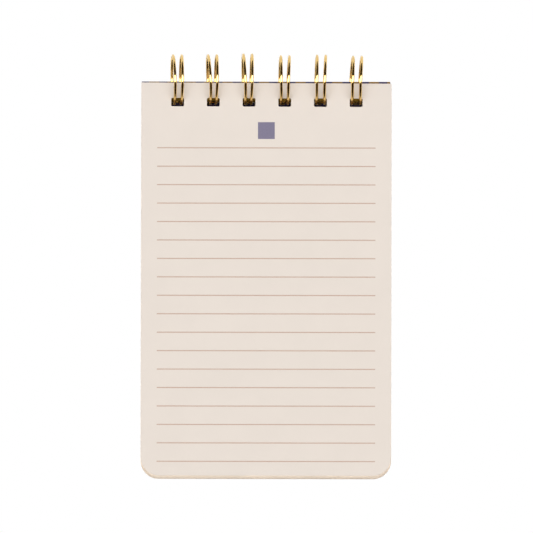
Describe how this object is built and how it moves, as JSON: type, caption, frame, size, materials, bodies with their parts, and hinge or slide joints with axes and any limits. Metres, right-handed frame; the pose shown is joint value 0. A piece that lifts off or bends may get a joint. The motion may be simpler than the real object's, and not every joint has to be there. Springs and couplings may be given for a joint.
{
  "type": "notebook",
  "caption": "Pocket notebook of ruled sheets and board covers on a twin-loop wire binding, with its front cover folded behind the pad.",
  "frame": {"origin": "the middle of the bounding box in X and Y, and the lowest point of the rings in Z", "axes": "+X along the binding, +Y from the pages to the binding, +Z out of the top page"},
  "size_m": [0.0888, 0.1508, 0.0178],
  "materials": {
    "wire": "bright gold-coloured plated wire",
    "page": "uncoated cream paper with fine tan rules",
    "board": "plain grey-brown board",
    "cover_print": "coated printed paper, purple with a gold pattern",
    "liner": "plain cream lining paper"
  },
  "bodies": {
    "page_block_7": {"page_block_7": "page"},
    "leaf_01": {"leaf_01": "page"},
    "leaf_02": {"leaf_02": "page"},
    "leaf_03": {"leaf_03": "page"},
    "leaf_04": {"leaf_04": "page"},
    "leaf_05": {"leaf_05": "page"},
    "leaf_06": {"leaf_06": "page"},
    "leaf_07": {"leaf_07": "page"},
    "leaf_08": {"leaf_08": "page"},
    "page_block_1": {"page_block_1": "page"},
    "page_block_2": {"page_block_2": "page"},
    "page_block_3": {"page_block_3": "page"},
    "page_block_4": {"page_block_4": "page"},
    "page_block_5": {"page_block_5": "page"},
    "page_block_6": {"page_block_6": "page"},
    "back_cover": {"back_cover_board": "board", "back_cover_print": "cover_print", "back_cover_liner": "liner"},
    "wire_binding": {"twin_loop_wire": "wire"},
    "front_cover": {"front_cover_board": "board", "front_cover_print": "cover_print", "front_cover_liner": "liner"}
  },
  "joints": [
    {"name": "leaf_01_turn", "type": "hinge", "parent": "leaf_02", "child": "leaf_01", "pos_m": [0, 0.06649, 0.00892], "axis": [-1, 0, 0], "range_deg": [0, 180]},
    {"name": "leaf_02_turn", "type": "hinge", "parent": "leaf_03", "child": "leaf_02", "pos_m": [0, 0.06649, 0.00892], "axis": [-1, 0, 0], "range_deg": [0, 180]},
    {"name": "leaf_03_turn", "type": "hinge", "parent": "leaf_04", "child": "leaf_03", "pos_m": [0, 0.06649, 0.00892], "axis": [-1, 0, 0], "range_deg": [0, 180]},
    {"name": "leaf_04_turn", "type": "hinge", "parent": "leaf_05", "child": "leaf_04", "pos_m": [0, 0.06649, 0.00892], "axis": [-1, 0, 0], "range_deg": [0, 180]},
    {"name": "leaf_05_turn", "type": "hinge", "parent": "leaf_06", "child": "leaf_05", "pos_m": [0, 0.06649, 0.00892], "axis": [-1, 0, 0], "range_deg": [0, 180]},
    {"name": "leaf_06_turn", "type": "hinge", "parent": "leaf_07", "child": "leaf_06", "pos_m": [0, 0.06649, 0.00892], "axis": [-1, 0, 0], "range_deg": [0, 180]},
    {"name": "leaf_07_turn", "type": "hinge", "parent": "leaf_08", "child": "leaf_07", "pos_m": [0, 0.06649, 0.00892], "axis": [-1, 0, 0], "range_deg": [0, 180]},
    {"name": "leaf_08_turn", "type": "hinge", "parent": "page_block_1", "child": "leaf_08", "pos_m": [0, 0.06649, 0.00892], "axis": [-1, 0, 0], "range_deg": [0, 180]},
    {"name": "page_block_1_turn", "type": "hinge", "parent": "page_block_2", "child": "page_block_1", "pos_m": [0, 0.06649, 0.00892], "axis": [-1, 0, 0], "range_deg": [0, 180]},
    {"name": "page_block_2_turn", "type": "hinge", "parent": "page_block_3", "child": "page_block_2", "pos_m": [0, 0.06649, 0.00892], "axis": [-1, 0, 0], "range_deg": [0, 180]},
    {"name": "page_block_3_turn", "type": "hinge", "parent": "page_block_4", "child": "page_block_3", "pos_m": [0, 0.06649, 0.00892], "axis": [-1, 0, 0], "range_deg": [0, 180]},
    {"name": "page_block_4_turn", "type": "hinge", "parent": "page_block_5", "child": "page_block_4", "pos_m": [0, 0.06649, 0.00892], "axis": [-1, 0, 0], "range_deg": [0, 180]},
    {"name": "page_block_5_turn", "type": "hinge", "parent": "page_block_6", "child": "page_block_5", "pos_m": [0, 0.06649, 0.00892], "axis": [-1, 0, 0], "range_deg": [0, 180]},
    {"name": "page_block_6_turn", "type": "hinge", "parent": "page_block_7", "child": "page_block_6", "pos_m": [0, 0.06649, 0.00892], "axis": [-1, 0, 0], "range_deg": [0, 180]},
    {"name": "back_cover_turn", "type": "hinge", "parent": "page_block_7", "child": "back_cover", "pos_m": [0, 0.06649, 0.00892], "axis": [1, 0, 0], "range_deg": [0, 180]},
    {"name": "wire_roll", "type": "hinge", "parent": "back_cover", "child": "wire_binding", "pos_m": [0, 0.06649, 0.00892], "axis": [1, 0, 0], "range_deg": [0, 282.72]},
    {"name": "front_cover_swing", "type": "hinge", "parent": "wire_binding", "child": "front_cover", "pos_m": [0, 0.0602, 0.00332], "axis": [1, 0, 0], "range_deg": [0, 77.27]}
  ],
  "couplings": [
    {"joint": "wire_roll", "follows": "front_cover_swing", "ratio": 3.6586}
  ]
}
